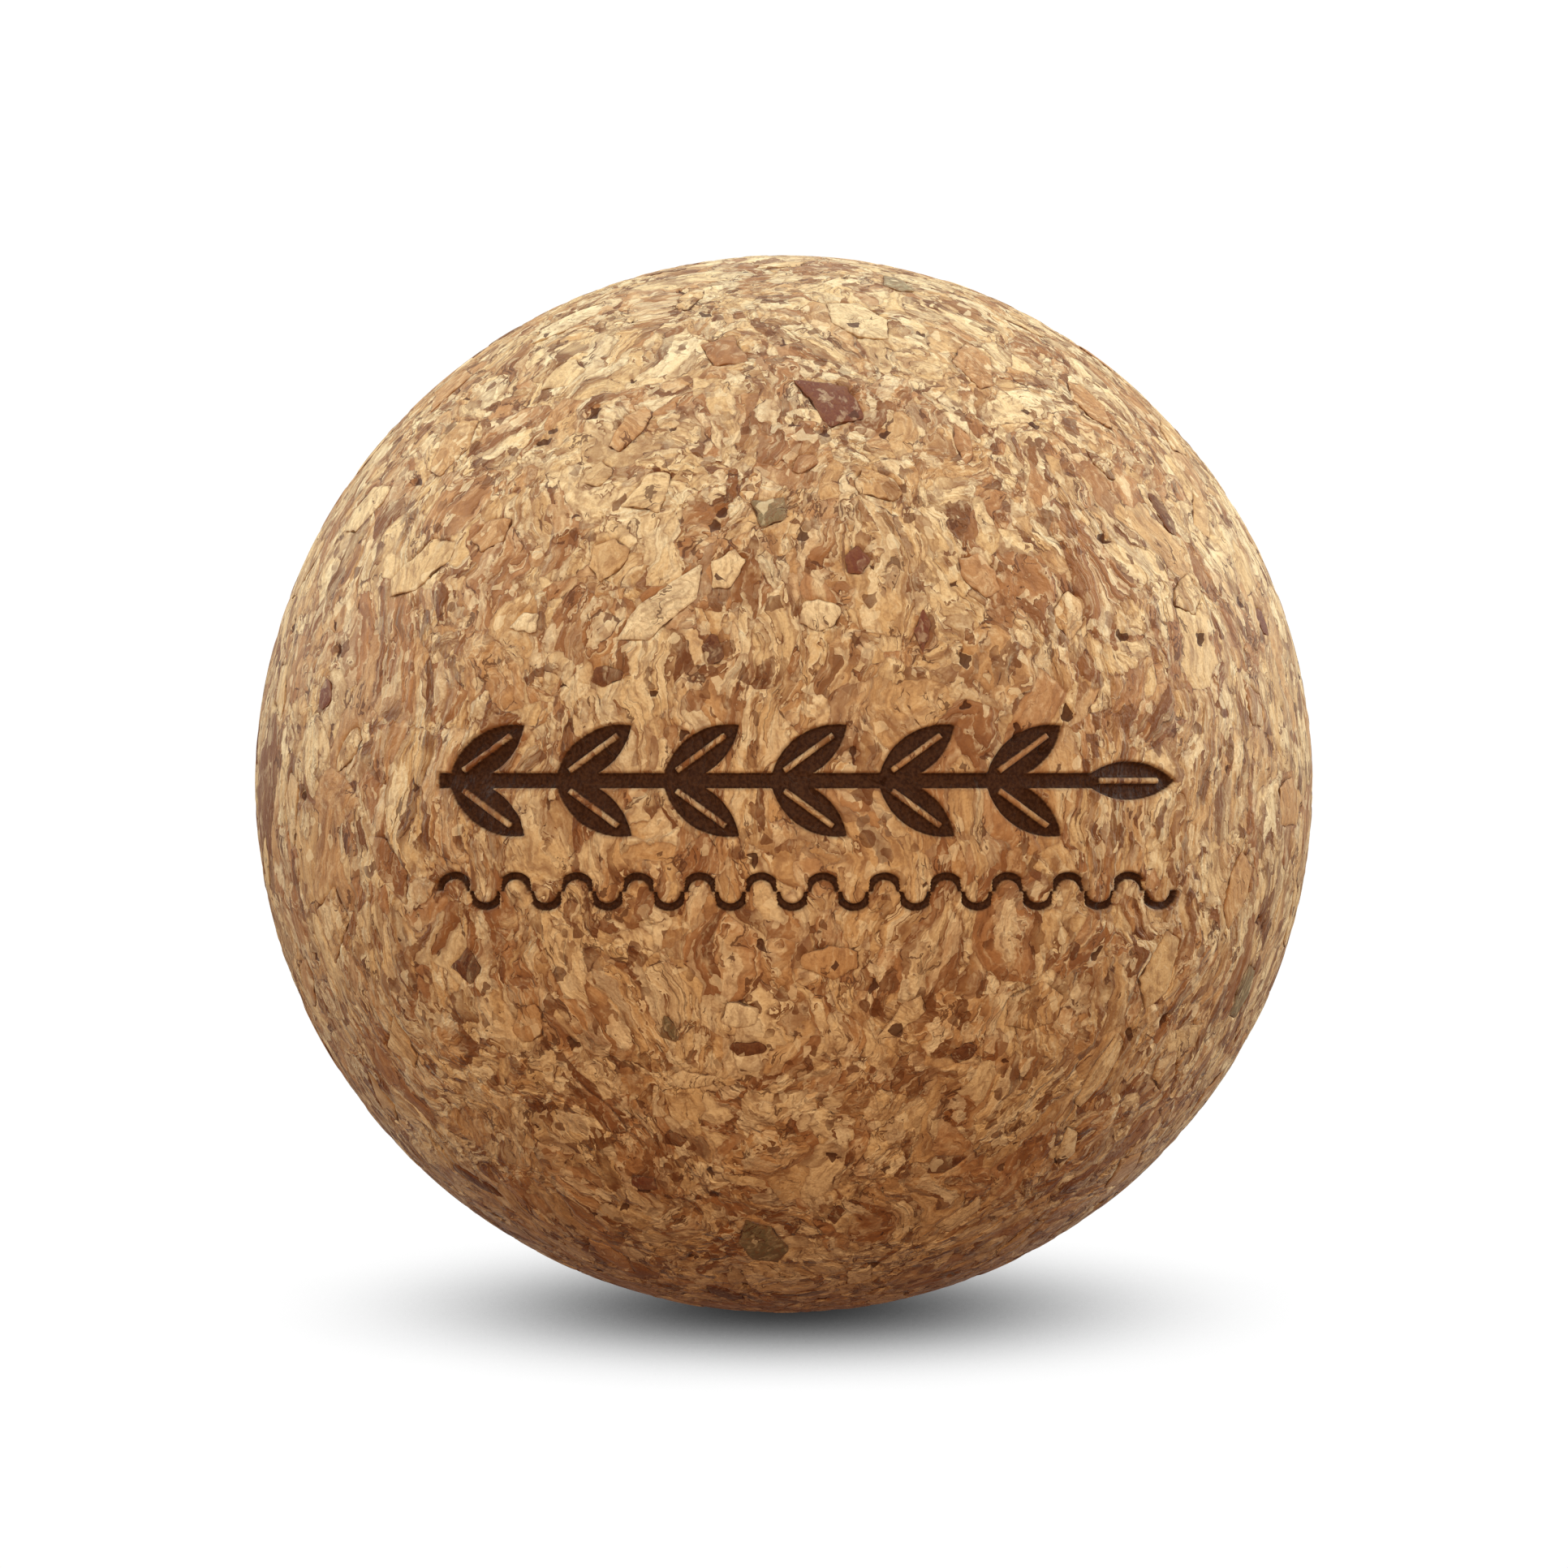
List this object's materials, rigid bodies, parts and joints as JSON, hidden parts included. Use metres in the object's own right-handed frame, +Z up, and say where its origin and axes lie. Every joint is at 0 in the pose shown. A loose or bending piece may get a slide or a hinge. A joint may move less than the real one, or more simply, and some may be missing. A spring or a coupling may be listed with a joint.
{
  "type": "massage ball",
  "caption": "Solid cork massage ball: bonded fine granulate with coarse cork and bark granules ground flush, and a burned-in leaf sprig over a wave line",
  "frame": {"origin": "centre of the ball", "axes": "+Z up through the ball, -Y towards the engraved side, +X to the right when facing the engraving"},
  "size_m": [0.065, 0.065, 0.065],
  "materials": {
    "fine_granulate": "sanded matte agglomerated cork, fine granules in cured binder",
    "cream_cork": "sanded matte pale cork",
    "honey_cork": "sanded matte honey-coloured cork",
    "tan_cork": "sanded matte tan cork",
    "brown_cork": "sanded matte brown cork",
    "red_bark": "matte red-brown bark",
    "dark_bark": "matte dark brown bark",
    "grey_cork": "sanded matte grey-green cork"
  },
  "bodies": {
    "root": {"fine_granulate_body": "fine_granulate", "cream_granules": "cream_cork", "honey_granules": "honey_cork", "tan_granules": "tan_cork", "brown_granules": "brown_cork", "red_bark_chips": "red_bark", "dark_bark_chips": "dark_bark", "grey_granules": "grey_cork"}
  },
  "joints": []
}
